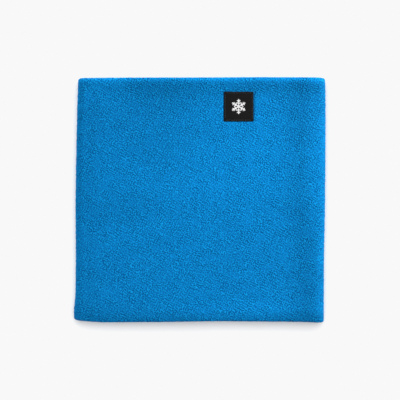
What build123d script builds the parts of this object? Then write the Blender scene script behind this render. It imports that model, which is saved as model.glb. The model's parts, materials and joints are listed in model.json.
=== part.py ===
"""Neck gaiter: two fleece tubes, one inside the other, joined along both rims and laid flat.

Millimetres. +X is across the flat width, +Y along the tube's axis towards the top rim, +Z up.
The origin is on the surface that the gaiter lies on, under its middle. The front, with the woven
label, faces up, and the centre-back seam is underneath.
"""

from build123d import *
from math import cos, pi
import os

# ---- driving dimensions ----
WIDTH = 254.0            # across the flat tube, fold to fold
HEIGHT = 249.0           # rim to rim
THICKNESS = 18.0         # of the whole gaiter as it lies
HOLLOW = 7.0             # height of the space between front and back
PLY = 2.6                # one layer of fleece
PLY_GAP = 0.3            # between the outer layer and the lining

SEAM_ALLOWANCE = 8.0     # fleece turned into the wall at each rim
PRESSED = 1.0            # one layer of seam allowance, squashed by its stitches
RIM_PLY = 1.25           # a ply squashed over the seam allowance
RIM_POCKET = 11.0        # how far the squashed ply reaches from the rim
RIM_RAMP = 4.0           # and then it grows back to full thickness
SEAM_PINCH = 0.1         # between the two tubes along the rim's seam line
RIM_TURN = 1.8           # from the rim to the inside of the turn in the fleece

LINING_SEAM_X = -3.0     # the outer tube's back seam is at x = 0, the lining's a little to one side
BACK_ALLOWANCE = 9.0     # width of a back seam's allowance
BACK_PRESSED = 0.9       # one layer of it
BACK_PLY = 1.0           # the ply beneath it, squashed
BACK_COVER = 1.8         # the other tube's ply over it, squashed less
BACK_POCKET = 2.0        # room beside the allowance
SLIT = 0.2               # between the two edges that a back seam joins
GROOVE_WIDTH = 1.6       # the dent along a back seam
GROOVE_DEPTH = 0.8
CARE_SEAM_OFFSET = 0.4   # from the lining's seam line to where the care label comes out

THREAD = 0.3             # thickness of a stitch
THREAD_WIDTH = 0.5
STITCH_AIR = 0.05        # between thread and fleece
OVERLOCK_PITCH = 4.0
OVERLOCK_REACH = 6.0     # from the raw edge to the needle line

GAP_LENGTH = 90.0        # the gap in the bottom rim that the work was turned through
EDGE_STITCH_INSET = 3.5  # the row that closes it, from the rim
EDGE_STITCH = 2.4
EDGE_STITCH_PITCH = 3.0
EDGE_STITCH_SINK = 0.45

LABEL = 30.0             # square woven label
LABEL_THICKNESS = 0.7
LABEL_SINK = 0.5         # the sewn label presses this far into the fleece
LABEL_X, LABEL_Y = 39.3, 94.9
LABEL_CORNER = 0.6
LABEL_STITCH_INSET = 1.3
LABEL_STITCH = 1.8
LABEL_STITCH_PITCH = 2.3

CARE_LENGTH = 26.0       # folded satin label, from its seam to its fold
CARE_WIDTH = 34.0        # along the seam
CARE_Y = -85.0
CARE_LEAF = 0.25
CARE_FOLD = 0.4          # outer radius of its fold
CARE_CLEAR = 0.35        # over the lining it lies on
CARE_ROOT = 1.0          # where the two leaves are held together

# ---- what follows from them ----
MIDDLE_Z = THICKNESS / 2
R_OUT = THICKNESS / 2
R_IN = HOLLOW / 2
R_SEAM = (R_OUT + R_IN) / 2
WALL = R_OUT - R_IN
STRAIGHT = WIDTH / 2 - R_OUT
RIM_Y = HEIGHT / 2
BACK_ALLOWANCE_END = RIM_Y - RIM_POCKET - RIM_RAMP - 1.0


def block(x0, x1, y0, y1, z0, z1):
    """A box between two corners."""
    size = Box(x1 - x0, y1 - y0, z1 - z0)
    return Pos((x0 + x1) / 2, (y0 + y1) / 2, (z0 + z1) / 2) * size


def save(node, shape):
    """Write one node, as one solid or as a group of separate solids."""
    shape.label = node
    export_step(shape, f"parts/{node}.step")


# ---- the two tubes ----
def ply_outline(side):
    """Half of one tube's wall section, from mid-height to the top rim and back, as (y, r) edges.

    r is the distance from the middle of the hollow. side is +1 for the outer tube and -1 for the
    lining, which is its mirror image about the seam line in the middle of the wall.
    """
    def at(y, offset):
        return (y, R_SEAM + side * offset)

    face = WALL / 2
    pinch = SEAM_PINCH / 2
    edge_radius = face - pinch
    round_y = RIM_Y - edge_radius
    fold = pinch + PRESSED
    pocket = face - RIM_PLY
    turn_y = RIM_Y - RIM_TURN
    turn_bulge = (pocket - fold) / 2
    middle = face - PLY
    raw_y = RIM_Y - SEAM_ALLOWANCE
    ramp_y = RIM_Y - RIM_POCKET
    bend = edge_radius * (1 - cos(pi / 4))
    return [
        Line(at(0, face), at(round_y, face)),
        ThreePointArc(at(round_y, face), at(RIM_Y - bend, face - bend), at(RIM_Y, pinch)),
        Line(at(RIM_Y, pinch), at(raw_y, pinch)),
        Line(at(raw_y, pinch), at(raw_y, fold)),
        Line(at(raw_y, fold), at(turn_y, fold)),
        ThreePointArc(
            at(turn_y, fold), at(turn_y + turn_bulge, fold + turn_bulge), at(turn_y, pocket)
        ),
        Line(at(turn_y, pocket), at(ramp_y, pocket)),
        Line(at(ramp_y, pocket), at(ramp_y - RIM_RAMP, middle)),
        Line(at(ramp_y - RIM_RAMP, middle), at(0, middle)),
        Line(at(0, middle), at(0, face)),
    ]


def flat_tube(side):
    """One fleece tube: straight front and back, and a half-round fold at each side."""
    plane = Plane(origin=(STRAIGHT, 0, MIDDLE_Z), x_dir=(0, 1, 0), z_dir=(1, 0, 0))
    half = make_face(Wire([plane.from_local_coords(edge) for edge in ply_outline(side)]))
    front = extrude(half, amount=-2 * STRAIGHT, dir=(1, 0, 0))
    fold = revolve(half, Axis((STRAIGHT, 0, MIDDLE_Z), (0, 1, 0)), 180)
    back = mirror(front, Plane.XY.offset(MIDDLE_Z))
    quarter = front + fold + back + mirror(fold, Plane.YZ)
    return quarter + mirror(quarter, Plane.XZ)


def back_seam_fleece():
    """The outer tube's back seam: what is cut from the plies there and the allowance added to them.

    Returns (cut from the seam's own ply, allowance, cut from the other tube's ply). The seam is at
    x = 0 and its allowance lies towards +X. The lining's seam is the same, turned over.
    """
    end = BACK_ALLOWANCE_END
    lower = BACK_PLY + STITCH_AIR + THREAD + STITCH_AIR
    upper = lower + BACK_PRESSED + STITCH_AIR
    top = upper + BACK_PRESSED
    pocket_x = BACK_ALLOWANCE + BACK_POCKET
    slit = block(-SLIT / 2, SLIT / 2, -HEIGHT, HEIGHT, -1, WALL / 2)
    groove_line = Polyline(
        (-GROOVE_WIDTH / 2, -0.01), (0, GROOVE_DEPTH), (GROOVE_WIDTH / 2, -0.01), close=True
    )
    groove = extrude(Plane.XZ * make_face(groove_line), amount=HEIGHT, both=True)
    pocket = block(SLIT / 2 + PRESSED, pocket_x, -end, end, BACK_PLY, WALL)
    near = block(SLIT / 2, BACK_ALLOWANCE, -end, end, lower, lower + BACK_PRESSED)
    near += block(SLIT / 2, SLIT / 2 + PRESSED, -end, end, BACK_PLY, lower + BACK_PRESSED)
    far = block(-SLIT / 2 - PRESSED, BACK_ALLOWANCE, -end, end, upper, top)
    far += block(-SLIT / 2 - PRESSED, -SLIT / 2, -end, end, BACK_PLY, top)
    cover = block(-SLIT - PRESSED, pocket_x, -end - 1, end + 1, -1, WALL - BACK_COVER)
    return slit + groove + pocket, near + far, cover


def turned_over(shape):
    """A back seam's shape moved from the outer tube to the lining, at the lining's own place."""
    flipped = Pos(0, 0, WALL / 2) * Rot(0, 180, 0) * Pos(0, 0, -WALL / 2) * shape
    return Pos(LINING_SEAM_X, 0, 0) * flipped


def label_pocket():
    room = LABEL + 0.4
    pocket = Box(room, room, 2 * LABEL_SINK)
    return Pos(LABEL_X, LABEL_Y, THICKNESS) * pocket


def edge_stitch_places():
    """The middles of the stitches that close the turning gap, along X."""
    count = int(GAP_LENGTH / EDGE_STITCH_PITCH)
    return [(i - (count - 1) / 2) * EDGE_STITCH_PITCH for i in range(count)]


def edge_stitch_channels():
    """The dents that the closing stitches pull, below in the outer tube and above in the lining."""
    y = -RIM_Y + EDGE_STITCH_INSET
    half = THREAD_WIDTH / 2 + 0.1
    length = GAP_LENGTH / 2 + 1.0
    outer = block(-length, length, y - half, y + half, -1, EDGE_STITCH_SINK)
    inner = block(-length, length, y - half, y + half, WALL - EDGE_STITCH_SINK, WALL + 1)
    return outer, inner


def fleece_tubes():
    cut, allowance, cover = back_seam_fleece()
    outer_channel, inner_channel = edge_stitch_channels()
    shell = flat_tube(1) - cut - turned_over(cover) - label_pocket() - outer_channel + allowance
    lining = flat_tube(-1) - turned_over(cut) - cover - inner_channel + turned_over(allowance)
    return shell, lining


# ---- the stitches inside the wall ----
def overlock_loop(gap_low, gap_high):
    """One overlock loop, open towards -X, its raw-edge side at x = 0 and its two legs in z."""
    low = block(-OVERLOCK_REACH, 0, -THREAD_WIDTH / 2, THREAD_WIDTH / 2, gap_low, gap_low + THREAD)
    high = block(-OVERLOCK_REACH, 0, -THREAD_WIDTH / 2, THREAD_WIDTH / 2, gap_high - THREAD, gap_high)
    side = block(-THREAD, 0, -THREAD_WIDTH / 2, THREAD_WIDTH / 2, gap_low, gap_high)
    return low + side + high


def back_seam_loops():
    """The outer tube's back seam thread, a loop every few millimetres up the seam."""
    low = BACK_PLY + STITCH_AIR
    high = low + 2 * (THREAD + STITCH_AIR + BACK_PRESSED) + STITCH_AIR
    loop = Pos(BACK_ALLOWANCE + STITCH_AIR + THREAD, 0, 0) * overlock_loop(low, high)
    count = int(2 * BACK_ALLOWANCE_END / OVERLOCK_PITCH)
    first = -(count - 1) / 2 * OVERLOCK_PITCH
    return [Pos(0, first + i * OVERLOCK_PITCH, 0) * loop for i in range(count)]


def loop_at_rim():
    """One loop on the top rim's allowance, on the front, with r = 0 at z = 0."""
    half = SEAM_PINCH / 2 + PRESSED + STITCH_AIR + THREAD
    loop = Rot(0, 0, -90) * overlock_loop(R_SEAM - half, R_SEAM + half)
    return Pos(0, RIM_Y - SEAM_ALLOWANCE - STITCH_AIR - THREAD, 0) * loop


def rim_loops(gap):
    """The thread along one rim: front, back and round both side folds, less a gap at centre back."""
    loop = loop_at_rim()
    count = int(2 * STRAIGHT / OVERLOCK_PITCH)
    xs = [(i - (count - 1) / 2) * OVERLOCK_PITCH for i in range(count)]
    loops = [Pos(x, 0, MIDDLE_Z) * loop for x in xs]
    loops += [Pos(x, 0, MIDDLE_Z) * Rot(0, 180, 0) * loop for x in xs if abs(x) >= gap / 2]
    round_count = int(pi * R_SEAM / OVERLOCK_PITCH)
    for side in (1, -1):
        for i in range(round_count):
            angle = side * (i + 0.5) * 180 / round_count
            loops.append(Pos(side * STRAIGHT, 0, MIDDLE_Z) * Rot(0, angle, 0) * loop)
    return loops


def closing_stitches():
    """Both threads of the row that closes the turning gap."""
    y = -RIM_Y + EDGE_STITCH_INSET
    half = EDGE_STITCH / 2
    stitches = []
    for x in edge_stitch_places():
        for z in (0.1, WALL - 0.1 - THREAD):
            bar = block(x - half, x + half, y - THREAD_WIDTH / 2, y + THREAD_WIDTH / 2, z, z + THREAD)
            stitches.append(bar)
    return stitches


# ---- labels ----
def woven_label():
    slab = Box(LABEL, LABEL, LABEL_THICKNESS)
    slab = fillet(slab.edges().filter_by(Axis.Z), LABEL_CORNER)
    return Pos(LABEL_X, LABEL_Y, THICKNESS - LABEL_SINK + LABEL_THICKNESS / 2) * slab


def woven_label_stitches():
    """Lockstitches along the label's four sides, lying on its face."""
    reach = LABEL / 2 - LABEL_STITCH_INSET
    count = int(2 * reach / LABEL_STITCH_PITCH)
    z = THICKNESS - LABEL_SINK + LABEL_THICKNESS
    stitches = []
    for quarter in range(4):
        for i in range(count):
            x = (i - (count - 1) / 2) * LABEL_STITCH_PITCH
            bar = Box(LABEL_STITCH, THREAD_WIDTH, THREAD)
            placed = Rot(0, 0, 90 * quarter) * Pos(x, reach, 0) * bar
            stitches.append(Pos(LABEL_X, LABEL_Y, z + THREAD / 2) * placed)
    return stitches


def care_label():
    """A satin ribbon folded in half, its two ends held together at the lining's back seam."""
    low = WALL + CARE_CLEAR
    high = low + 2 * CARE_FOLD
    root_x = LINING_SEAM_X + CARE_SEAM_OFFSET
    fold_x = root_x + CARE_LENGTH - CARE_FOLD
    y0 = CARE_Y - CARE_WIDTH / 2
    y1 = CARE_Y + CARE_WIDTH / 2
    inner = CARE_FOLD - CARE_LEAF
    middle = (low + high) / 2

    def across(radius):
        tube = Cylinder(radius, CARE_WIDTH, rotation=(90, 0, 0))
        return Pos(fold_x, CARE_Y, middle) * tube

    solid = block(root_x, fold_x, y0, y1, low, high) + across(CARE_FOLD)
    room = block(root_x + CARE_ROOT, fold_x, y0, y1, middle - inner, middle + inner)
    return solid - room - across(inner)


def main():
    os.makedirs("parts", exist_ok=True)
    shell, lining = fleece_tubes()
    loops = back_seam_loops()
    bottom_loops = [mirror(loop, Plane.XZ) for loop in rim_loops(GAP_LENGTH)]
    save("outer_shell", shell)
    save("lining", lining)
    save("shell_back_seam_stitching", Compound(loops))
    save("lining_back_seam_stitching", Compound([turned_over(loop) for loop in loops]))
    save("top_rim_stitching", Compound(rim_loops(0)))
    save("bottom_rim_stitching", Compound(bottom_loops))
    save("closing_stitches", Compound(closing_stitches()))
    save("woven_label", woven_label())
    save("woven_label_stitching", Compound(woven_label_stitches()))
    save("care_label", care_label())


main()
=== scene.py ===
import json
import math

import bpy
import numpy as np
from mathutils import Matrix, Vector, noise

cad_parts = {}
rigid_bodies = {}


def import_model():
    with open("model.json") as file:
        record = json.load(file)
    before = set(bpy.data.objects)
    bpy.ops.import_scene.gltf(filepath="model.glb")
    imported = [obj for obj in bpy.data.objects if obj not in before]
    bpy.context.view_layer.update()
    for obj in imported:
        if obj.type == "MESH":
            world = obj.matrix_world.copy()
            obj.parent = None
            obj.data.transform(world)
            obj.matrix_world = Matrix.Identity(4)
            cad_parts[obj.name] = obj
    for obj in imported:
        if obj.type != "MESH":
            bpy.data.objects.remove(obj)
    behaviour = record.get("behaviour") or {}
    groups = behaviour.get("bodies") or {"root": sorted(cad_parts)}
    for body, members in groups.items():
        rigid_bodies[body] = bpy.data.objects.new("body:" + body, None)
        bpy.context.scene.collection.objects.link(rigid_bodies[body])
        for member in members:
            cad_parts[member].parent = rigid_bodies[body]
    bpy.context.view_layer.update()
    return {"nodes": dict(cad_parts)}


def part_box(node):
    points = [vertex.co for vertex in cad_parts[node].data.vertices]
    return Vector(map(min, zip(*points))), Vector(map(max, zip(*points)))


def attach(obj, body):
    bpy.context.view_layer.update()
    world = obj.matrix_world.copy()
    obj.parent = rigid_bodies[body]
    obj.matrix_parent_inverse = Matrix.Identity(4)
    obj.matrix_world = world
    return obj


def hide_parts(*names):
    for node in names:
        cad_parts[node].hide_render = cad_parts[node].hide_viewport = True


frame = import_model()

# The neck gaiter, in metres, in the frame's axes: +X across the flat tube, +Y towards the top rim,
# +Z up. It lies on its back, so the front of the tube is its upper side.

MM = 0.001

# ---- sizes that the frame gives ----
shell_low, shell_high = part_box("outer_shell")
lining_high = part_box("lining")[1]
label_low, label_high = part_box("woven_label")
care_low, care_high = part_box("care_label")
closing_low, closing_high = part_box("closing_stitches")
closing_y = (closing_low.y + closing_high.y) / 2
closing_half = (closing_high.x - closing_low.x) / 2

PINCH = 0.05 * MM                                  # half the gap along the rim's seam line
MIDDLE_Z = (shell_low.z + shell_high.z) / 2
R_OUT = (shell_high.z - shell_low.z) / 2           # from the hollow's middle to the outer face
STRAIGHT = shell_high.x - R_OUT                    # from the middle to where a side fold starts
R_SEAM = lining_high.x - STRAIGHT + PINCH          # to the middle of the wall
HALF_WALL = R_OUT - R_SEAM
RIM_Y = shell_high.y

# ---- how the fleece is made up ----
PLY = 2.6 * MM
RIM_PLY = 1.25 * MM            # a ply over the seam allowance
ALLOWANCE = 8.0 * MM           # fleece turned into the wall at each rim
ALLOWANCE_PLY = 1.0 * MM
POCKET = 11.0 * MM             # how far from the rim the squashed ply reaches
POCKET_MIDDLE = 6.0 * MM
RAMP = 4.0 * MM                # the stretch over which the ply grows to its full thickness
TURN = 1.8 * MM                # from the rim to where the allowance turns back
RIM_PULL = 0.8 * MM            # the seam draws the rim's crest in
RIM_PULL_FROM = math.radians(40)
BACK_SEAM_DENT = 0.9 * MM
BACK_SEAM_WIDTH = 1.0 * MM
LINING_SEAM_X = -3.0 * MM
CLEAR_OF_FLOOR = 0.02 * MM

# ---- how close the fleece's points are ----
SHELL_STEP, SHELL_BACK_STEP, SHELL_ROW = 1.2 * MM, 1.8 * MM, 1.3 * MM
LINING_STEP = 2.2 * MM
SHELL_FOLD_STEPS, LINING_FOLD_STEPS = 24, 12
SEAM_FINE = tuple(d * MM for d in (0.35, 0.7, 1.1, 1.6, 2.2, 3.0))    # beside a back seam
RIM_STEPS = 6
INNER_ROWS = 20
FLAT = 0.99                    # a normal this upright belongs to the flat front or back

# ---- how it lies ----
SAG = 1.9 * MM                 # the front sinks this far between the folds
DOME = 1.1 * MM                # and less in the middle, over the back seams
DOME_REACH = 80 * MM
TOP_RIDGE = 2.4 * MM           # seam allowances hold the top rim up
RIDGE_FROM_RIM = 2.5 * MM
RIDGE_REACH = 8.0 * MM
BOTTOM_RIDGE = 0.8 * MM        # and the bottom rim a little
BOTTOM_RIDGE_FROM_RIM = 8 * MM
BOTTOM_DROP = 1.2 * MM         # the bottom rim lies flatter, and rolls off over its last part
BOTTOM_REACH = 10.0 * MM
LEFT_DROP = 1.2 * MM
LEFT_REACH = 14.0 * MM
CREASE = 1.3 * MM              # what is left of a fold across the middle
CREASE_Y = 5.0 * MM
CREASE_REACH = 20.0 * MM
FOLD_CREST = 1.3 * MM          # the right fold stands up more than the left one
FOLD_CREST_X = 109.0 * MM
FOLD_CREST_REACH = 8.0 * MM
FOLD_TURN = 8.0 * MM           # the right fold's roll is narrower below the middle
FOLD_TURN_FROM, FOLD_TURN_TO = -45 * MM, 5 * MM
FOLD_TURN_MOVES, FOLD_TURN_NARROWS = 0.7, 0.3
WANDER = 0.16 * MM             # it is never quite flat

# How far each edge is from straight: a place along it, then how far it is shifted towards +X or
# +Y, in millimetres.
LEFT_EDGE = ((-125, -0.8), (-114, -1.2), (-100, 0.45), (-60, 1.0), (0, 0.45), (60, 1.6),
             (125, 3.0))
RIGHT_EDGE = ((-125, -0.5), (-60, -0.4), (0, 0.9), (125, 1.3))
TOP_EDGE = ((-127, -0.4), (-60, -0.2), (0, -0.15), (60, 0.25), (110, 0.05), (127, -0.3))
BOTTOM_EDGE = ((-127, 2.0), (-117, 0.75), (-100, -0.5), (-40, 0.0), (20, 0.8), (110, 0.0),
               (127, -0.7))
EDGE_SAMPLES = 200
EDGE_ROUNDING = 17             # samples over which a corner of these lines is rounded

# ---- the cloth simulation ----
SIM_SCALE = 10.0               # cloth is simulated at ten times its size, where its solver is exact
SIM_FRAMES = 24
SIM_STEP = 6.0 * MM
SIM_FOLD_STEPS = 6
SIM_ROWS = 42
SIM_GAP = 1.0 * MM             # from the wall's middle surface to what it rests on
SIM_CONTACT = 0.8 * MM
SIM_GROUND = 3                 # half the side of the ground
SIM_MOST = 3.5 * MM            # nothing moves further than this
SUPPORT_POINTS = 60
SUPPORT_HALF = 130 * MM        # half its height in y
SUPPORT_SKIN = 0.002
SUPPORT_FRICTION = 20
CLOTH = {"quality": 8, "mass": 0.4, "air_damping": 4, "tension_stiffness": 60,
         "compression_stiffness": 60, "shear_stiffness": 20, "bending_stiffness": 12}
FIELD_ROUND = 256              # the grid that keeps how the wall moved
FIELD_UP = 126
FIELD_SMOOTHING = 6
DISTANCE_ROUND = 4 * STRAIGHT + 2 * math.pi * R_SEAM

# ---- the pile ----
NAP_CLUMP = 2.4 * MM           # clumps that stand out as shape
NAP_HEIGHT = 0.36 * MM
NAP_FINER, NAP_ELSEWHERE = 2.1, Vector((5.2, 1.3, 7.7))    # the smaller clumps among them
NAP_FADE = 0.6                 # they fade out where the rim's face turns this far up or down
CURL = 1.8 * MM                # curls that show as colour and relief
CURL_TURN = (0.0, 0.0, 0.5)    # in radians
CURL_WANDER, CURL_STRAY = 2.4 * CURL, 1.8 * CURL
BRUSHED = 9 * MM               # patches where the curls stand deeper or are brushed flatter
BRUSHED_BAND = (0.36, 0.64)    # the noise's values between which the one turns into the other
CURL_SHALLOW, CURL_DEEP = 0.62, 1.42
CURL_SHARE = 0.2
FIBRE = 1.3 * MM
FIBRE_SHARE = 0.1
WORN = 13 * MM                 # broad clouds, drawn out across the tube
WORN_STRETCH = (0.45, 1.0, 1.0)
WORN_SHADE = (0.89, 0.91, 0.92)
PILE_STOPS = (0.25, 0.5, 0.75)
PILE_RELIEF, PILE_BUMP = 1.0 * MM, 0.8
# How light the pile looks, in linear light: painted shade at the bottom rim, under the top rim's
# crest, near the left fold and inside the right fold, a painted highlight on the top rim's crest, and
# broad patches of painted light and shade.
PAINTED_LIGHT_AND_SHADE_UP = ((0.0, 0.66), (0.05, 0.77), (0.1, 0.82), (0.7, 0.82), (0.9, 0.76), (0.955, 0.65),
          (0.975, 0.71), (0.99, 1.1))
PAINTED_SHADE_LEFT = ((0.0, 1.0), (0.1, 0.93), (0.2, 0.92), (0.32, 0.99), (0.5, 1.0))
PAINTED_SHADE_RIGHT = ((0.07, 1.0), (0.36, 0.95), (0.57, 0.83), (0.7, 0.8), (0.82, 0.9), (1.0, 0.9))
PAINTED_SHADE_REACH = 77 * MM             # how far in from a fold the two above reach
PAINTED_LIGHT_AND_SHADE_PATCHES = (                # painted light and shade: middle x, y and reach x, y in millimetres, then how much lighter
    (-112, 113, 60, 24, 0.25),
    (-36, 109, 52, 30, -0.13),
    (-38, 72, 60, 60, -0.07),
    (2, 7, 60, 25, 0.05),
    (-71, -8, 35, 25, -0.07),
    (62, -110, 120, 12, 0.17),
    (62, -55, 70, 70, -0.05),
    (50, 117, 48, 14, -0.09),
    (5, -112, 35, 9, 0.08),
)

# ---- the labels and their stitches ----
LABEL_SLIP = -0.6 * MM         # the label is sewn on a little lower than drawn
LABEL_CELLS = 116
LABEL_SHEET = 0.3 * MM
LABEL_EDGE_DROP, LABEL_EDGE = 0.25 * MM, 0.5 * MM
LABEL_FURROW, LABEL_FURROW_IN = 0.12 * MM, 1.3 * MM
LABEL_CROWN, LABEL_CROWN_FROM, LABEL_CROWN_TO = 0.06 * MM, 2.0 * MM, 5.0 * MM
LABEL_PRESS, LABEL_PRESS_REACH = 0.95 * MM, 1.6 * MM
LABEL_SWELL, LABEL_SWELL_OUT, LABEL_SWELL_REACH = 0.2 * MM, 3.0 * MM, 1.8 * MM
LABEL_PITCH = 2.3 * MM
LABEL_STITCH = 1.7 * MM
LABEL_STITCH_INSET = 0.25 * MM
LABEL_THREAD, LABEL_THREAD_SINK = 0.42 * MM, 0.16 * MM
MOTIF_ARM = 7.6 * MM
MOTIF_WIDTH = 1.15 * MM
MOTIF_BRANCH_WIDTH = 0.84 * MOTIF_WIDTH
MOTIF_BRANCHES = ((2.9 * MM, 2.3 * MM), (5.2 * MM, 1.9 * MM))    # where on the arm, how long
MOTIF_RAISED = 0.08 * MM
WEAVE_RELIEF = 0.02 * MM
SLUB = 1.7 * MM                # uneven spots in the weave
CLOSING_PITCH = 3.0 * MM
CLOSING_STITCH = 2.5 * MM
CLOSING_THREAD, CLOSING_THREAD_SINK = 0.45 * MM, 0.12 * MM
CLOSING_UNDER, CLOSING_OVER = 0.15 * MM, 0.1 * MM
CLOSING_FURROW, CLOSING_FURROW_REACH, CLOSING_FURROW_END = 0.4 * MM, 1.4 * MM, 3 * MM
STITCH_RINGS, STITCH_SIDES = 7, 8
STITCH_DIVE = 0.6              # how deep a stitch's ends go, as a share of its sink
STITCH_TIP = 0.45              # its radius at the ends, as a share of the middle's
CARE_LEAF = 0.25 * MM
CARE_ACROSS, CARE_ALONG, CARE_FOLD_STEPS = 26, 16, 8
CARE_LIFT, CARE_WAVE = 0.35 * MM, 0.25 * MM    # the free end rises, and waves this much
CARE_WAVES = 1.3
CARE_PINCH, CARE_PINCH_REACH = 0.35, 3 * MM    # the leaves are squeezed together at the seam

label_x = (label_low.x + label_high.x) / 2
label_y = (label_low.y + label_high.y) / 2 + LABEL_SLIP
label_side = label_high.x - label_low.x

# ---- the studio ----
FLOOR_REACH = 30.0
FLOOR_GREY, FLOOR_GRAIN = 0.92, 0.002
SKY = 0.47                     # overhead; it is full white near the horizon
SKY_FROM, SKY_TO = 0.12, 0.34
KEY_FROM = (0.05, 0.38, 1.0)
KEY = 2.4                      # watts per square metre
KEY_SPREAD = 70                # degrees
SIDE_FROM = (0.48, 0.27, 0.30)
SIDE = 5.4                     # watts, as is the fill
FILL_FROM = (-0.6, 0.05, 0.09)
FILL = 0.6
SIDE_SIZE = 0.3                # of both low lamps
PAPER = 0.939                  # the print's paper white, in linear light
VIEW_WIDTH = 408 * MM
FOCAL, SENSOR = 85.0, 36.0
EYE_OFF = 0.2 * MM             # the camera is this far right of and below the middle


# ---- meshes ----
def grid_faces(rows, columns, wrap_rows, wrap_columns, flip=False):
    """Quads of a grid of points stored row by row."""
    i = np.arange(rows if wrap_rows else rows - 1)
    j = np.arange(columns if wrap_columns else columns - 1)
    i, j = np.meshgrid(i, j, indexing="ij")
    i2, j2 = (i + 1) % rows, (j + 1) % columns
    quads = np.stack([i * columns + j, i2 * columns + j, i2 * columns + j2, i * columns + j2], -1)
    quads = quads.reshape(-1, 4)
    return quads[:, ::-1] if flip else quads


def mesh_object(name, points, faces, smooth=True):
    """An object from its points and faces, each an array or a list."""
    mesh = bpy.data.meshes.new(name)
    faces = faces.tolist() if isinstance(faces, np.ndarray) else faces
    mesh.from_pydata(np.asarray(points).reshape(-1, 3).tolist(), [], faces)
    mesh.polygons.foreach_set("use_smooth", [smooth] * len(mesh.polygons))
    mesh.update()
    piece = bpy.data.objects.new(name, mesh)
    bpy.context.scene.collection.objects.link(piece)
    return piece


def square(reach, z):
    """The corners of a level square that reaches as far each way from the origin."""
    return [(-reach, -reach, z), (reach, -reach, z), (reach, reach, z), (-reach, reach, z)]


def closed_sheet(name, upper, lower):
    """A closed sheet between two grids of points, one over the other."""
    rows, columns = upper.shape[:2]
    top = grid_faces(rows, columns, False, False)
    bottom = top[:, ::-1] + rows * columns
    ring = ([i * columns for i in range(rows)]
            + [(rows - 1) * columns + j for j in range(1, columns)]
            + [i * columns + columns - 1 for i in range(rows - 2, -1, -1)]
            + [j for j in range(columns - 2, 0, -1)])
    ring = np.array(ring)
    after = np.roll(ring, -1)
    sides = np.stack([ring, ring + rows * columns, after + rows * columns, after], -1)
    points = np.concatenate([upper.reshape(-1, 3), lower.reshape(-1, 3)])
    return mesh_object(name, points, np.concatenate([top, bottom, sides]))


def smoothstep(x, low, high):
    """0 below low, 1 above high, and smooth between them."""
    t = np.clip((x - low) / (high - low), 0, 1)
    return t * t * (3 - 2 * t)


def bell(x, middle, reach):
    """1 at the middle, and close to 0 at twice the reach from it."""
    return np.exp(-((x - middle) / reach) ** 2)


# ---- the path round the flat tube ----
def path_round(front_step, back_step, fold_steps, seam_x=0.0, fine=()):
    """Points round the tube from the back seam, as (x of the fold line, normal x, normal z).

    fine are extra distances from the seam line, where the dent along it needs closer points.
    """
    def run(start, end, step):
        count = max(1, round(abs(end - start) / step))
        return list(np.linspace(start, end, count, endpoint=False))

    edge = fine[-1] if fine else 0.0
    xs, angles = [], []

    def add(values, angle):
        xs.extend(values)
        angles.extend([angle] * len(values))

    add([seam_x], -90)
    add([seam_x + d for d in fine], -90)
    add(run(seam_x + edge, STRAIGHT, back_step)[1:], -90)
    for k in range(fold_steps):
        add([STRAIGHT], -90 + 180 * k / fold_steps)
    add(run(STRAIGHT, -STRAIGHT, front_step), 90)
    for k in range(fold_steps):
        add([-STRAIGHT], 90 + 180 * k / fold_steps)
    add(run(-STRAIGHT, seam_x - edge, back_step), 270)
    add([seam_x - d for d in reversed(fine)], 270)
    angles = np.radians(angles)
    return np.array(xs), np.cos(angles), np.sin(angles)


def along_path(path):
    """How far each point of a path is from its start, measured at the middle of the wall."""
    x, nx, nz = path
    at = np.stack([x + nx * R_SEAM, nz * R_SEAM], -1)
    steps = np.linalg.norm(np.diff(at, axis=0), axis=1)
    return np.concatenate([[0], np.cumsum(steps)])


def place(path, radius, y):
    """Points at a distance from the hollow's middle. radius and y broadcast against the path."""
    x, nx, nz = (a[:, None] for a in path)
    radius, y = np.broadcast_arrays(radius, y)
    return np.stack([x + nx * radius, np.broadcast_to(y, (len(x), y.shape[-1])),
                     MIDDLE_Z + nz * radius], -1)


# ---- how the front settles ----
def support_height(x, y):
    """How far from its flat place the front is held up, at a point of it. Below zero is lower."""
    drop = -SAG + DOME * bell(x, 0, DOME_REACH)
    rims = TOP_RIDGE * bell(y, RIM_Y - RIDGE_FROM_RIM, RIDGE_REACH)
    rims = rims + BOTTOM_RIDGE * bell(y, BOTTOM_RIDGE_FROM_RIM - RIM_Y, RIDGE_REACH)
    rims = rims - BOTTOM_DROP * bell(y, -RIM_Y, BOTTOM_REACH)
    crease = CREASE * bell(y, CREASE_Y, CREASE_REACH)
    turn = FOLD_TURN * (1 - smoothstep(y, FOLD_TURN_FROM, FOLD_TURN_TO))
    crest_x = FOLD_CREST_X + turn * FOLD_TURN_MOVES
    right = FOLD_CREST * bell(x, crest_x, FOLD_CREST_REACH - turn * FOLD_TURN_NARROWS)
    left = -LEFT_DROP * bell(x, -STRAIGHT, LEFT_REACH)
    wander = WANDER * (
        np.sin(x / (31 * MM) + 0.7) * np.sin(y / (27 * MM) + 1.9)
        + np.sin(x / (17 * MM) - y / (23 * MM) + 4.0)
    )
    return drop + rims + crease + right + left + wander


def collider(name, points, faces):
    """A surface that the cloth falls on."""
    piece = mesh_object(name, points, faces)
    piece.modifiers.new("Collision", "COLLISION")
    piece.collision.thickness_outer = SUPPORT_SKIN
    piece.collision.cloth_friction = SUPPORT_FRICTION
    return piece


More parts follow.
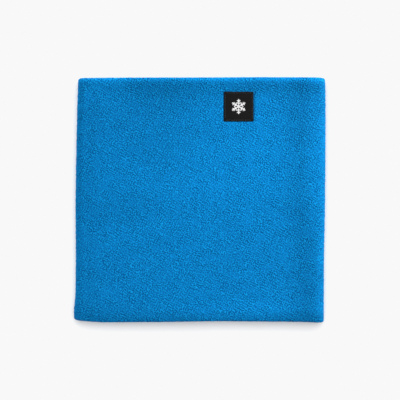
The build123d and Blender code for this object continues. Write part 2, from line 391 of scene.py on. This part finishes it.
def dropped_as_cloth(start):
    """How each point of the wall's middle surface moves when it falls on what holds it up."""
    rows, columns = start.shape[:2]
    cloth = mesh_object("settling_wall", start * SIM_SCALE, grid_faces(rows, columns, True, False))
    base_z = (MIDDLE_Z - R_SEAM - SIM_GAP) * SIM_SCALE
    ground = collider("settling_ground", square(SIM_GROUND, base_z), [(0, 1, 2, 3)])
    gx, gy = np.meshgrid(np.linspace(-STRAIGHT, STRAIGHT, SUPPORT_POINTS),
                         np.linspace(-SUPPORT_HALF, SUPPORT_HALF, SUPPORT_POINTS), indexing="ij")
    held = MIDDLE_Z + R_SEAM - SIM_GAP + support_height(gx, gy)
    support = collider("settling_support", np.stack([gx, gy, held], -1) * SIM_SCALE,
                       grid_faces(SUPPORT_POINTS, SUPPORT_POINTS, False, False))
    modifier = cloth.modifiers.new("Cloth", "CLOTH")
    for setting, value in CLOTH.items():
        setattr(modifier.settings, setting, value)
    modifier.collision_settings.distance_min = SIM_CONTACT * SIM_SCALE
    modifier.collision_settings.collision_quality = 3
    modifier.point_cache.frame_start = 1
    modifier.point_cache.frame_end = SIM_FRAMES
    for number in range(1, SIM_FRAMES + 1):
        bpy.context.scene.frame_set(number)
    settled = cloth.evaluated_get(bpy.context.evaluated_depsgraph_get()).to_mesh()
    end = np.zeros(start.size, np.float32)
    settled.vertices.foreach_get("co", end)
    moved = end.reshape(start.shape) / SIM_SCALE - start
    moved[..., :2] -= moved[..., :2].mean(axis=(0, 1))
    for piece in (cloth, ground, support):
        bpy.data.objects.remove(piece)
    bpy.context.scene.frame_set(1)
    return np.clip(moved, -SIM_MOST, SIM_MOST)


def settled_wall():
    """How the wall moves as it settles: a grid of displacements in metres.

    The grid is even in the distance round the tube and in y.
    """
    path = path_round(SIM_STEP, SIM_STEP, SIM_FOLD_STEPS)
    ys = np.linspace(-RIM_Y, RIM_Y, SIM_ROWS)
    start = place(path, R_SEAM, ys)
    moved = dropped_as_cloth(start)
    return even_field(path, ys, moved)


def even_field(path, ys, moved):
    """Spreads displacements over an even grid, with the corners between their points rounded."""
    at = np.append(along_path(path), DISTANCE_ROUND)
    even_at = np.linspace(0, DISTANCE_ROUND, FIELD_ROUND, endpoint=False)
    even_y = np.linspace(-RIM_Y, RIM_Y, FIELD_UP)
    moved = np.concatenate([moved, moved[:1]])
    moved = np.stack([[np.interp(even_y, ys, row[:, k]) for row in moved] for k in range(3)], -1)
    columns = moved.reshape(len(at), -1).T
    even = np.stack([np.interp(even_at, at, column) for column in columns], -1)
    even = even.reshape(FIELD_ROUND, FIELD_UP, 3)
    for _ in range(FIELD_SMOOTHING):
        even = (np.roll(even, 1, 0) + 2 * even + np.roll(even, -1, 0)) / 4
        inner = (even[:, :-2] + 2 * even[:, 1:-1] + even[:, 2:]) / 4
        even = np.concatenate([even[:, :1], inner, even[:, -1:]], 1)
    return even


def distance_of(points):
    """How far round the tube each point is, from the middle of its back towards +X."""
    x, z = points[..., 0], points[..., 2] - MIDDLE_Z
    front = 2 * STRAIGHT + math.pi * R_SEAM - x
    right = STRAIGHT + R_SEAM * (np.arctan2(z, x - STRAIGHT) + math.pi / 2)
    left_angle = np.arctan2(z, x + STRAIGHT) % (2 * math.pi)
    left = 3 * STRAIGHT + math.pi * R_SEAM + R_SEAM * (left_angle - math.pi / 2)
    flat = np.where(z > 0, front, x % DISTANCE_ROUND)
    return np.where(x > STRAIGHT, right, np.where(x < -STRAIGHT, left, flat))


def lookup(field, points):
    """The settled displacement of each point of the wall."""
    u = distance_of(points) / DISTANCE_ROUND * FIELD_ROUND
    v = (points[..., 1] / (2 * RIM_Y) + 0.5).clip(0, 1) * (FIELD_UP - 1)
    i = np.floor(u).astype(int)
    j = np.minimum(np.floor(v).astype(int), FIELD_UP - 2)
    u, v = (u - i)[..., None], (v - j)[..., None]
    i, i2 = i % FIELD_ROUND, (i + 1) % FIELD_ROUND
    low = (1 - u) * field[i, j] + u * field[i2, j]
    high = (1 - u) * field[i, j + 1] + u * field[i2, j + 1]
    return (1 - v) * low + v * high


def laid(field, points):
    """Points of the flat tube, moved to where they lie."""
    return as_it_lies(points + lookup(field, points))


def edge_offset(points, at):
    """A smooth line through a few points in millimetres, evaluated in metres."""
    places, offsets = np.array(points).T * MM
    fine = np.linspace(places[0], places[-1], EDGE_SAMPLES)
    line = np.interp(fine, places, offsets)
    kernel = np.hanning(EDGE_ROUNDING)
    padded = np.pad(line, EDGE_ROUNDING // 2, mode="edge")
    line = np.convolve(padded, kernel / kernel.sum(), mode="valid")
    return np.interp(at, fine, line)


def as_it_lies(points):
    """Shifts points so that the four edges wander as the real ones do."""
    x, y = points[..., 0], points[..., 1]
    right = (x / (2 * (STRAIGHT + R_OUT)) + 0.5).clip(0, 1)
    top = (y / (2 * RIM_Y) + 0.5).clip(0, 1)
    moved = points.copy()
    moved[..., 0] += right * edge_offset(RIGHT_EDGE, y) + (1 - right) * edge_offset(LEFT_EDGE, y)
    moved[..., 1] += (top ** 2 * edge_offset(TOP_EDGE, x)
                      + (1 - top) ** 2 * edge_offset(BOTTOM_EDGE, x))
    return moved


# ---- the fleece ----
def rim_arc(side, steps):
    """The rounded rim of one tube, from its face to the seam line.

    Each row is its y, its radius, and its normal's share of y and of the radius.
    """
    size = HALF_WALL - PINCH
    rows = []
    for k in range(steps + 1):
        a = math.pi / 2 * k / steps
        pull = RIM_PULL * smoothstep(a, RIM_PULL_FROM, math.radians(90)) ** 1.5
        y = RIM_Y - size + size * math.sin(a) - pull
        r = PINCH + size * math.cos(a)
        rows.append((y, R_SEAM + side * r, math.sin(a), side * math.cos(a)))
    return rows


def hidden_rows(side):
    """The seam allowance inside the wall, from the rim's crest to the ply's inner face."""
    fold = PINCH + ALLOWANCE_PLY
    pocket = HALF_WALL - RIM_PLY
    inside = HALF_WALL - PLY
    turn_y = RIM_Y - TURN
    end_y = RIM_Y - ALLOWANCE
    half_y = RIM_Y - ALLOWANCE / 2
    return [(y, R_SEAM + side * r, 0.0, 0.0) for y, r in (
        (half_y, PINCH), (end_y, PINCH), (end_y, fold), (half_y, fold), (turn_y, fold),
        (turn_y + (pocket - fold) / 2, (pocket + fold) / 2), (turn_y, pocket),
        (RIM_Y - POCKET_MIDDLE, pocket), (RIM_Y - POCKET, pocket),
        (RIM_Y - POCKET - RAMP, inside),
    )]


def ply_profile(side, step):
    """One tube's whole wall section as rows of (y, radius, normal y, normal r), in a closed loop."""
    arc = rim_arc(side, RIM_STEPS)
    face_y = arc[0][0]
    hidden = hidden_rows(side)
    inside = hidden[-1]
    count = round(2 * face_y / step)
    faces = [(y, R_SEAM + side * HALF_WALL, 0.0, float(side))
             for y in np.linspace(-face_y, face_y, count + 1)[1:-1]]
    inner = [(y, inside[1], 0.0, 0.0)
             for y in np.linspace(inside[0], -inside[0], INNER_ROWS)[1:-1]]
    low = [(-y, r, -ny, nr) for y, r, ny, nr in arc]
    low_hidden = [(-y, r, -ny, nr) for y, r, ny, nr in hidden]
    rows = low[::-1] + faces + arc + hidden + inner + low_hidden[::-1]
    return np.array(rows).T


def nap(points, strength):
    """The pile's clumps: how far each point stands out, in metres."""
    height = np.zeros(strength.shape)
    for index in np.argwhere(strength > 0):
        i = tuple(index)
        p = Vector(points[i]) / NAP_CLUMP
        height[i] = noise.noise(p) + 0.5 * noise.noise(p * NAP_FINER + NAP_ELSEWHERE)
    return height * strength * NAP_HEIGHT


def label_dent(points, path):
    """The fleece is pressed down under the sewn label and stands up a little round its edge."""
    away = np.maximum(np.abs(points[..., 0] - label_x), np.abs(points[..., 1] - label_y))
    away = away - label_side / 2
    front = (path[2] > FLAT)[:, None]
    pressed = -LABEL_PRESS * (1 - smoothstep(away, 0, LABEL_PRESS_REACH))
    swollen = LABEL_SWELL * bell(away, LABEL_SWELL_OUT, LABEL_SWELL_REACH)
    return np.where(front, pressed + swollen, 0.0)


def closing_dent(points, path):
    """The furrow that the closing stitches pull, on the back of the tube near the bottom rim."""
    back = (path[2] < -FLAT)[:, None]
    on_row = bell(points[..., 1], closing_y, CLOSING_FURROW_REACH)
    away = np.abs(points[..., 0])
    ends = 1 - smoothstep(away, closing_half, closing_half + CLOSING_FURROW_END)
    return np.where(back, -CLOSING_FURROW * on_row * ends, 0.0)


def fleece_tube(name, side, path, step, seam_x, field, dents):
    """One fleece tube as a closed mesh: its napped face, its rims and its hidden allowances.

    side is 1 for the outer tube and -1 for the lining.
    """
    y, radius, normal_y, normal_r = ply_profile(side, step)
    points = place(path, radius, y)
    _, nx, nz = (a[:, None] for a in path)
    shown = np.abs(normal_r) + np.abs(normal_y) > 0
    crest = np.maximum(np.abs(normal_y) - NAP_FADE, 0) / (1 - NAP_FADE)
    mask = np.where(shown, 1 - crest, 0.0)[None, :] * np.ones((len(path[0]), 1))
    back_seam = -BACK_SEAM_DENT * bell(path[0][:, None], seam_x, BACK_SEAM_WIDTH)
    out = np.where(nz < -FLAT, back_seam, 0.0) * mask
    out = out + nap(points, mask)
    where = laid(field, points)
    for dent in dents:
        out = out + dent(where, path) * mask
    points[..., 0] += nx * normal_r * out
    points[..., 2] += nz * normal_r * out
    points[..., 1] += normal_y * out
    points = laid(field, points)
    points[..., 2] = np.maximum(points[..., 2], CLEAR_OF_FLOOR)
    return mesh_object(name, points, grid_faces(*points.shape[:2], True, True, flip=side > 0))


# ---- labels and stitches ----
def front_rise(field, x, y):
    """How far the front has risen from its flat place, at points (x, y) of it."""
    x, y = np.broadcast_arrays(x, y)
    return lookup(field, np.stack([x, y, np.full(x.shape, shell_high.z)], -1))[..., 2]


def turned(x, y, angle):
    """The same points on axes that are turned by an angle."""
    sine, cosine = math.sin(angle), math.cos(angle)
    return x * cosine + y * sine, -x * sine + y * cosine


def in_motif(x, y):
    """True where the woven motif is: a plain six-armed snow crystal."""
    inside = np.zeros(x.shape, bool)
    for k in range(6):
        along, across = turned(x, y, math.radians(60 * k + 90))
        inside |= (np.abs(across) < MOTIF_WIDTH / 2) & (along > 0) & (along < MOTIF_ARM)
        for root, length in MOTIF_BRANCHES:
            for lean in (math.radians(60), math.radians(-60)):
                u, v = turned(along - root, across, lean)
                inside |= (np.abs(v) < MOTIF_BRANCH_WIDTH / 2) & (u > 0) & (u < length)
    return inside


def woven_label(field):
    """The square label: rounded, stitched-down edges, and a weave with the motif in white."""
    cells, cell = LABEL_CELLS, label_side / LABEL_CELLS
    line = np.linspace(-label_side / 2, label_side / 2, cells + 1)
    x, y = np.meshgrid(line, line, indexing="ij")
    away = label_side / 2 - np.maximum(np.abs(x), np.abs(y))
    z = np.full(x.shape, label_high.z)
    z -= LABEL_EDGE_DROP * (1 - smoothstep(away, 0, LABEL_EDGE))
    z -= LABEL_FURROW * bell(away, LABEL_FURROW_IN, LABEL_EDGE)
    z += LABEL_CROWN * smoothstep(away, LABEL_CROWN_FROM, LABEL_CROWN_TO)
    white = in_motif(x[:-1, :-1] + cell / 2, y[:-1, :-1] + cell / 2)
    raised = np.zeros(x.shape)
    for di in (0, 1):
        for dj in (0, 1):
            corner = (slice(di, cells + di), slice(dj, cells + dj))
            raised[corner] = np.maximum(raised[corner], white)
    i, j = np.indices(x.shape)
    z += MOTIF_RAISED * raised + WEAVE_RELIEF * ((i + 2 * j) % 4 == 0)
    z += front_rise(field, x + label_x, y + label_y)
    top = np.stack([x + label_x, y + label_y, z], -1)
    label = closed_sheet("label_cloth", top, top - (0, 0, LABEL_SHEET))
    label.data.materials.append(MATERIALS["label_black"])
    label.data.materials.append(MATERIALS["label_white"])
    index = np.zeros(len(label.data.polygons), np.int32)
    index[:cells * cells] = white.reshape(-1)
    label.data.polygons.foreach_set("material_index", index)
    return label


def stitch(start, end, up, width, sink):
    """One stitch of twisted thread, as a tapered closed tube that dives into the cloth at its ends."""
    start, end, up = Vector(start), Vector(end), Vector(up)
    along = end - start
    side = up.cross(along).normalized()
    rings, sides = STITCH_RINGS, STITCH_SIDES
    points = []
    for k in range(rings):
        t = k / (rings - 1)
        bulge = math.sin(math.pi * t) ** 0.5
        centre = start + along * t + up * (sink * (bulge - STITCH_DIVE))
        radius = width / 2 * (STITCH_TIP + (1 - STITCH_TIP) * bulge)
        for n in range(sides):
            a = 2 * math.pi * n / sides
            points.append(centre + (side * math.cos(a) + up * (0.8 * math.sin(a))) * radius)
    faces = grid_faces(rings, sides, False, True).tolist()
    first_tip, last_tip = len(points), len(points) + 1
    last_ring = (rings - 1) * sides
    points += [tip - up * (sink * STITCH_DIVE) for tip in (start, end)]
    for n in range(sides):
        after = (n + 1) % sides
        faces.append([n, after, first_tip])
        faces.append([last_ring + after, last_ring + n, last_tip])
    return np.array([tuple(p) for p in points]), faces


def stitch_group(name, stitches):
    """Many stitches as one object."""
    points, faces, first = [], [], 0
    for part_points, part_faces in stitches:
        points.append(part_points)
        faces += [[v + first for v in face] for face in part_faces]
        first += len(part_points)
    return mesh_object(name, np.concatenate(points), faces)


def label_stitches(field):
    """Lockstitches along the label's four sides, sunk in the furrow that they pull."""
    low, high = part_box("woven_label_stitching")
    reach = (high.x - low.x) / 2 - LABEL_STITCH_INSET
    count = int(2 * reach / LABEL_PITCH)
    made = []
    for quarter in range(4):
        a = math.radians(90 * quarter)
        for k in range(count):
            s = (k - (count - 1) / 2) * LABEL_PITCH
            ends = []
            for t in (s - LABEL_STITCH / 2, s + LABEL_STITCH / 2):
                x = label_x + t * math.cos(a) - reach * math.sin(a)
                y = label_y + t * math.sin(a) + reach * math.cos(a)
                ends.append((x, y, label_high.z + float(front_rise(field, x, y))))
            made.append(stitch(*ends, (0, 0, 1), LABEL_THREAD, LABEL_THREAD_SINK))
    return stitch_group("label_stitches", made)


def closing_row(field):
    """The row that closes the turning gap: one thread under the back, one on the lining."""
    count = round(2 * closing_half / CLOSING_PITCH)
    made = []
    for k in range(count):
        x = (k - (count - 1) / 2) * CLOSING_PITCH
        for z, up in ((closing_low.z + CLOSING_UNDER, -1), (closing_high.z - CLOSING_OVER, 1)):
            ends = [[x + side * CLOSING_STITCH / 2, closing_y, z] for side in (-1, 1)]
            ends = laid(field, np.array(ends))
            made.append(stitch(*ends, (0, 0, up), CLOSING_THREAD, CLOSING_THREAD_SINK))
    return stitch_group("closing_row", made)


def seam_threads(node, field):
    """A hidden overlock seam, which follows the wall that it is sewn into."""
    mesh = frame["nodes"][node].data.copy()
    points = np.zeros(len(mesh.vertices) * 3, np.float32)
    mesh.vertices.foreach_get("co", points)
    points = laid(field, points.reshape(-1, 3).astype(float))
    mesh.vertices.foreach_set("co", points.reshape(-1))
    mesh.materials.clear()
    mesh.update()
    piece = bpy.data.objects.new(node.replace("stitching", "overlock"), mesh)
    bpy.context.scene.collection.objects.link(piece)
    return piece


def care_ribbon():
    """The blank satin label, folded in half, with the slight wave of a stiff ribbon."""
    bottom, top = care_low.z + CARE_LEAF / 2, care_high.z - CARE_LEAF / 2
    radius = (top - bottom) / 2
    root, tip = care_low.x, care_high.x - radius - CARE_LEAF / 2
    ys = np.linspace(care_low.y, care_high.y, CARE_ACROSS)
    line = [(x, bottom) for x in np.linspace(root, tip, CARE_ALONG)]
    line += [(tip + radius * math.sin(a), bottom + radius - radius * math.cos(a))
             for a in np.linspace(0, math.pi, CARE_FOLD_STEPS + 1)[1:-1]]
    line += [(x, top) for x in np.linspace(tip, root, CARE_ALONG)]
    line = np.array(line)
    tangent = np.gradient(line, axis=0)
    tangent /= np.linalg.norm(tangent, axis=1)[:, None]
    normal = np.stack([tangent[:, 1], -tangent[:, 0]], -1)
    layers = []
    for side in (1, -1):
        xz = line + normal * side * CARE_LEAF / 2
        grid = np.zeros((len(line), CARE_ACROSS, 3))
        grid[..., 0], grid[..., 1], grid[..., 2] = xz[:, None, 0], ys, xz[:, None, 1]
        layers.append(grid)
    for grid in layers:
        free = ((grid[..., 0] - root) / (tip - root)).clip(0, 1)
        wave = np.sin((grid[..., 1] - ys[0]) / (ys[-1] - ys[0]) * CARE_WAVES * 2 * math.pi + 0.6)
        grid[..., 2] += free ** 2 * (CARE_LIFT + CARE_WAVE * wave)
        pinched = 1 - smoothstep(grid[..., 0], root, root + CARE_PINCH_REACH)
        grid[..., 2] -= pinched * (grid[..., 2] - (bottom + radius)) * CARE_PINCH
    return closed_sheet("care_ribbon", *layers)


# ---- materials ----
class Nodes:
    """A material's node tree, with short calls for the nodes used here."""

    def __init__(self, name, base, roughness, **shader):
        self.material = bpy.data.materials.new(name)
        self.material.use_nodes = True
        self.tree = self.material.node_tree
        self.shader = self.tree.nodes["Principled BSDF"]
        self.shader.inputs["Base Color"].default_value = (*base, 1)
        self.shader.inputs["Roughness"].default_value = roughness
        for key, value in shader.items():
            self.shader.inputs[key.replace("_", " ")].default_value = value
        self.position = self.add("ShaderNodeTexCoord").outputs["Object"]

    def add(self, kind, links=None, **values):
        node = self.tree.nodes.new(kind)
        for key, value in values.items():
            setattr(node, key, value)
        for key, value in (links or {}).items():
            if isinstance(value, bpy.types.NodeSocket):
                self.tree.links.new(value, node.inputs[key])
            else:
                node.inputs[key].default_value = value
        return node

    def noise(self, size, detail=2.0, at=None, output="Fac"):
        return self.add("ShaderNodeTexNoise", {
            "Vector": at or self.position, "Scale": 1 / size, "Detail": detail}).outputs[output]

    def vector(self, operation, a, b=None, scale=None):
        links = {0: a}
        if b is not None:
            links[1] = b
        if scale is not None:
            links["Scale"] = scale
        return self.add("ShaderNodeVectorMath", links, operation=operation)

    def curls(self, size, warp_size, warp):
        """A labyrinth of rounded worms and hollows, -1.5 to 1.5, size apart and irregular.

        It is the gyroid sin x cos y + sin y cos z + sin z cos x in a wandering space.
        """
        wander = self.noise(warp_size, detail=0.0, output="Color")
        wander = self.vector("SUBTRACT", wander, (0.5, 0.5, 0.5)).outputs[0]
        wander = self.vector("SCALE", wander, scale=warp).outputs[0]
        at = self.vector("ADD", self.position, wander).outputs[0]
        at = self.add("ShaderNodeVectorRotate", {"Vector": at, "Rotation": CURL_TURN},
                      rotation_type="EULER_XYZ").outputs[0]
        at = self.vector("SCALE", at, scale=math.sqrt(2) * math.pi / size).outputs[0]
        x, y, z = self.add("ShaderNodeSeparateXYZ", {0: at}).outputs
        next_axis = self.add("ShaderNodeCombineXYZ", {0: y, 1: z, 2: x}).outputs[0]
        sine = self.vector("SINE", at).outputs[0]
        cosine = self.vector("COSINE", next_axis).outputs[0]
        return self.vector("DOT_PRODUCT", sine, cosine).outputs["Value"]

    def math(self, operation, a, b):
        return self.add("ShaderNodeMath", {0: a, 1: b}, operation=operation).outputs[0]

    def eased(self, value, low, high, at_low, at_high):
        """at_low below low, at_high above high, and smooth between them."""
        return self.add("ShaderNodeMapRange", {0: value, 1: low, 2: high, 3: at_low, 4: at_high},
                        interpolation_type="SMOOTHSTEP").outputs[0]

    def ramp(self, value, stops):
        node = self.add("ShaderNodeValToRGB", {"Fac": value})
        band = node.color_ramp
        while len(band.elements) < len(stops):
            band.elements.new(0.5)
        for element, (stop, colour) in zip(band.elements, stops):
            element.position = stop
            element.color = (*colour, 1)
        return node.outputs["Color"]

    def mix(self, mode, factor, a, b):
        node = self.add("ShaderNodeMix", data_type="RGBA", blend_type=mode)
        node.inputs[0].default_value = factor
        for index, value in ((6, a), (7, b)):
            if isinstance(value, bpy.types.NodeSocket):
                self.tree.links.new(value, node.inputs[index])
            else:
                node.inputs[index].default_value = (*value, 1)
        return node.outputs[2]

    def colour(self, socket):
        self.tree.links.new(socket, self.shader.inputs["Base Color"])

    def bump(self, height, distance, strength):
        node = self.add("ShaderNodeBump", {"Height": height, "Distance": distance,
                                           "Strength": strength})
        self.tree.links.new(node.outputs["Normal"], self.shader.inputs["Normal"])


def fleece(name, dark, middle, light):
    """Brushed fleece: curled clumps of pile, darker between them as painted shade, with loose fibres
    on top, and painted light and shade along the rims, near the folds and in broad patches.
    """
    m = Nodes(name, middle, 1.0, Specular_IOR_Level=0.03, Sheen_Weight=0.5,
              Sheen_Roughness=0.4, Sheen_Tint=(0.01, 0.45, 1.0, 1))
    curl = m.curls(CURL, CURL_WANDER, CURL_STRAY)
    fibre = m.noise(FIBRE, detail=1.0)
    lying = m.vector("MULTIPLY", m.position, WORN_STRETCH).outputs[0]
    broad = m.noise(WORN, detail=2.0, at=lying)
    depth = m.eased(m.noise(BRUSHED, detail=1.0), *BRUSHED_BAND, CURL_SHALLOW, CURL_DEEP)
    curl = m.math("MULTIPLY", m.math("MULTIPLY", curl, CURL_SHARE), depth)
    fibre = m.math("MULTIPLY", fibre, FIBRE_SHARE)
    height = m.math("ADD", m.math("ADD", curl, fibre), 0.5 - FIBRE_SHARE / 2)
    # Painted shade: the hollows between the curls are coloured darker than their crests.
    pile = m.ramp(height, list(zip(PILE_STOPS, (dark, middle, light))))
    worn = m.ramp(broad, [(0.3, WORN_SHADE), (0.7, (1.0, 1.0, 1.0))])
    pile = m.mix("MULTIPLY", 1.0, pile, worn)
    # Painted shade and a painted highlight: the pile's colour is scaled from rim to rim, near the left
    # fold and inside the right fold, whose line turns below the middle.
    x, y, _ = m.add("ShaderNodeSeparateXYZ", {0: m.position}).outputs
    turn = m.eased(y, FOLD_TURN_FROM, FOLD_TURN_TO, FOLD_TURN, 0.0)
    right = m.math("SUBTRACT", x, turn)
    for value, low, high, stops in (
        (y, -RIM_Y, RIM_Y, PAINTED_LIGHT_AND_SHADE_UP),
        (x, -shell_high.x, -shell_high.x + PAINTED_SHADE_REACH, PAINTED_SHADE_LEFT),
        (right, shell_high.x - PAINTED_SHADE_REACH, shell_high.x, PAINTED_SHADE_RIGHT),
    ):
        share = m.add("ShaderNodeMapRange", {0: value, 1: low, 2: high}).outputs[0]
        painted_light = m.ramp(share, [(stop, (lightness,) * 3) for stop, lightness in stops])
        pile = m.mix("MULTIPLY", 1.0, pile, painted_light)
    # Broad patches of painted light and painted shade, each fading out at its reach.
    for middle_x, middle_y, reach_x, reach_y, lighter in PAINTED_LIGHT_AND_SHADE_PATCHES:
        away = m.vector("SUBTRACT", m.position, (middle_x * MM, middle_y * MM, 0)).outputs[0]
        away = m.vector("MULTIPLY", away, (1 / (reach_x * MM), 1 / (reach_y * MM), 0)).outputs[0]
        away = m.vector("LENGTH", away).outputs["Value"]
        painted_light = m.eased(away, 0.0, 1.0, 1.0 + lighter, 1.0)
        pile = m.vector("SCALE", pile, scale=painted_light).outputs[0]
    m.colour(pile)
    m.bump(height, PILE_RELIEF, PILE_BUMP)
    return m.material


def woven(name, base, shade, pitch):
    """A tight label weave: fine crossing threads, a little sheen and no pile."""
    m = Nodes(name, base, 0.8, Specular_IOR_Level=0.04)
    waves = []
    for direction in ("X", "Y"):
        wave = m.add("ShaderNodeTexWave", {"Vector": m.position, "Scale": 0.3 / pitch,
                                           "Distortion": 0.4, "Detail": 1.0},
                     bands_direction=direction)
        waves.append(wave.outputs["Fac"])
    cross = m.math("MULTIPLY", waves[0], waves[1])
    slub = m.noise(SLUB, detail=2.0)
    uneven = m.ramp(slub, [(0.3, (0.72, 0.72, 0.72)), (0.7, (1.0, 1.0, 1.0))])
    m.colour(m.mix("MULTIPLY", 1.0, m.ramp(cross, [(0.1, shade), (0.8, base)]), uneven))
    m.bump(cross, 0.08 * MM, 0.6)
    return m.material


def satin(name, base, shade):
    """Smooth ribbon with fine ribs."""
    m = Nodes(name, base, 0.38, Specular_IOR_Level=0.5, Anisotropic=0.5, Sheen_Weight=0.1)
    wave = m.add("ShaderNodeTexWave", {"Vector": m.position, "Scale": 1200.0, "Distortion": 0.6},
                 bands_direction="Y").outputs["Fac"]
    m.colour(m.ramp(wave, [(0.0, shade), (0.6, base)]))
    m.bump(wave, 0.03 * MM, 0.4)
    return m.material


def thread(name, base, shade):
    """Spun thread: two plies twisted together."""
    m = Nodes(name, base, 0.55, Specular_IOR_Level=0.35, Sheen_Weight=0.15)
    wave = m.add("ShaderNodeTexWave", {"Vector": m.position, "Scale": 900.0, "Distortion": 1.0},
                 bands_direction="DIAGONAL").outputs["Fac"]
    m.colour(m.ramp(wave, [(0.0, shade), (0.7, base)]))
    m.bump(wave, 0.06 * MM, 0.5)
    return m.material


WEAVE_PITCH = 0.26 * MM
MATERIALS = {
    "fleece_outer": fleece("fleece_outer", (0.0011, 0.096, 0.290), (0.0018, 0.155, 0.418),
                           (0.0030, 0.231, 0.550)),
    "fleece_lining": fleece("fleece_lining", (0.0016, 0.093, 0.28), (0.0024, 0.15, 0.404),
                            (0.0036, 0.223, 0.532)),
    "label_black": woven("label_black", (0.0095, 0.0095, 0.01), (0.004, 0.004, 0.0042),
                         WEAVE_PITCH),
    "label_white": woven("label_white", (0.66, 0.66, 0.66), (0.46, 0.46, 0.47), WEAVE_PITCH),
    "label_thread": thread("label_thread", (0.006, 0.006, 0.006), (0.003, 0.003, 0.003)),
    "seam_thread": thread("seam_thread", (0.006, 0.16, 0.42), (0.003, 0.09, 0.26)),
    "care_satin": satin("care_satin", (0.82, 0.82, 0.80), (0.66, 0.66, 0.65)),
}


def finish_with(piece, material, slot, body, *nodes):
    """Gives a piece its material and its body, and hides the CAD nodes that it stands for. slot is not
    used.
    """
    if not piece.data.materials:
        piece.data.materials.append(MATERIALS[material])
    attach(piece, body)
    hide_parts(*nodes)


# ---- the studio ----
def studio():
    """A pale floor, an even sky, soft light from above and two low lamps at the sides."""
    floor = mesh_object("floor", square(FLOOR_REACH, 0), [(0, 1, 2, 3)], smooth=False)
    pale = Nodes("floor_paper", (FLOOR_GREY,) * 3, 1.0, Specular_IOR_Level=0.0)
    grain = pale.noise(300 * MM, detail=1.0)
    pale.colour(pale.ramp(grain, [(0.3, (FLOOR_GREY - FLOOR_GRAIN,) * 3),
                                  (0.7, (FLOOR_GREY + FLOOR_GRAIN,) * 3)]))
    floor.data.materials.append(pale.material)

    world = bpy.data.worlds.new("studio_air")
    bpy.context.scene.world = world
    world.use_nodes = True
    tree = world.node_tree
    background = tree.nodes["Background"]
    direction = tree.nodes.new("ShaderNodeTexCoord")
    split = tree.nodes.new("ShaderNodeSeparateXYZ")
    ramp = tree.nodes.new("ShaderNodeValToRGB")
    tree.links.new(direction.outputs["Generated"], split.inputs[0])
    tree.links.new(split.outputs["Z"], ramp.inputs["Fac"])
    tree.links.new(ramp.outputs["Color"], background.inputs["Color"])
    low, high = ramp.color_ramp.elements
    low.position, low.color = SKY_FROM, (1.0, 1.0, 1.0, 1)
    high.position, high.color = SKY_TO, (SKY, SKY, SKY, 1)

    key = bpy.data.lights.new("key_light", "SUN")
    key.energy = KEY
    key.angle = math.radians(KEY_SPREAD)
    side = bpy.data.lights.new("side_light", "AREA")
    side.energy = SIDE
    fill = bpy.data.lights.new("fill_light", "AREA")
    fill.energy = FILL
    side.size = fill.size = SIDE_SIZE
    for light, place_from in ((key, KEY_FROM), (side, SIDE_FROM), (fill, FILL_FROM)):
        lamp = bpy.data.objects.new(light.name, light)
        lamp.location = place_from
        lamp.rotation_mode = "QUATERNION"
        lamp.rotation_quaternion = (-Vector(place_from)).to_track_quat("-Z", "Y")
        lamp.visible_camera = False
        bpy.context.scene.collection.objects.link(lamp)


def paper_white():
    """The print's paper white: a floor that is lit beyond it stays one even tone."""
    view = bpy.context.scene.view_settings
    view.view_transform = "Standard"
    view.use_curve_mapping = True
    tone = view.curve_mapping.curves[3]
    tone.points[0].location = (0.0, 0.0)
    tone.points[1].location = (1.0, PAPER)
    tone.points.new(PAPER, PAPER)
    for point in tone.points:
        point.handle_type = "VECTOR"
    view.curve_mapping.update()


def shine_on_the_goods(lamps):
    """The low lamps light the pieces alone, so the contact shadow stays on the paper."""
    goods = bpy.data.collections.new("goods")
    for piece in bpy.data.objects:
        if piece.type == "MESH" and piece.name != "floor":
            goods.objects.link(piece)
    for name in lamps:
        bpy.data.objects[name].light_linking.receiver_collection = goods


def camera():
    """Straight above, with the tube's top rim at the top of the picture."""
    data = bpy.data.cameras.new("camera")
    data.lens = FOCAL
    data.sensor_width = SENSOR
    eye = bpy.data.objects.new("camera", data)
    eye.location = (EYE_OFF, -EYE_OFF, MIDDLE_Z + VIEW_WIDTH * FOCAL / SENSOR)
    bpy.context.scene.collection.objects.link(eye)
    bpy.context.scene.camera = eye


# ---- putting it together ----
camera()
studio()
field = settled_wall()

shell_path = path_round(SHELL_STEP, SHELL_BACK_STEP, SHELL_FOLD_STEPS, 0.0, SEAM_FINE)
shell = fleece_tube("fleece_shell", 1, shell_path, SHELL_ROW, 0.0, field,
                    [label_dent, closing_dent])
finish_with(shell, "fleece_outer", "fleece_outer", "root", "outer_shell")

lining_path = path_round(LINING_STEP, LINING_STEP, LINING_FOLD_STEPS, LINING_SEAM_X, SEAM_FINE)
lining = fleece_tube("fleece_lining", -1, lining_path, LINING_STEP, LINING_SEAM_X, field,
                     [closing_dent])
finish_with(lining, "fleece_lining", "fleece_lining", "root", "lining")

label = woven_label(field)
finish_with(label, "label_black", "label_weave", "root", "woven_label")
finish_with(label_stitches(field), "label_thread", "label_thread", "root", "woven_label_stitching")
finish_with(closing_row(field), "seam_thread", "seam_thread", "root", "closing_stitches")

ribbon = care_ribbon()
finish_with(ribbon, "care_satin", "care_satin", "care_label", "care_label")

for node in ("shell_back_seam_stitching", "lining_back_seam_stitching", "top_rim_stitching",
             "bottom_rim_stitching"):
    finish_with(seam_threads(node, field), "seam_thread", "seam_thread", "root", node)

shine_on_the_goods(("side_light", "fill_light"))
paper_white()
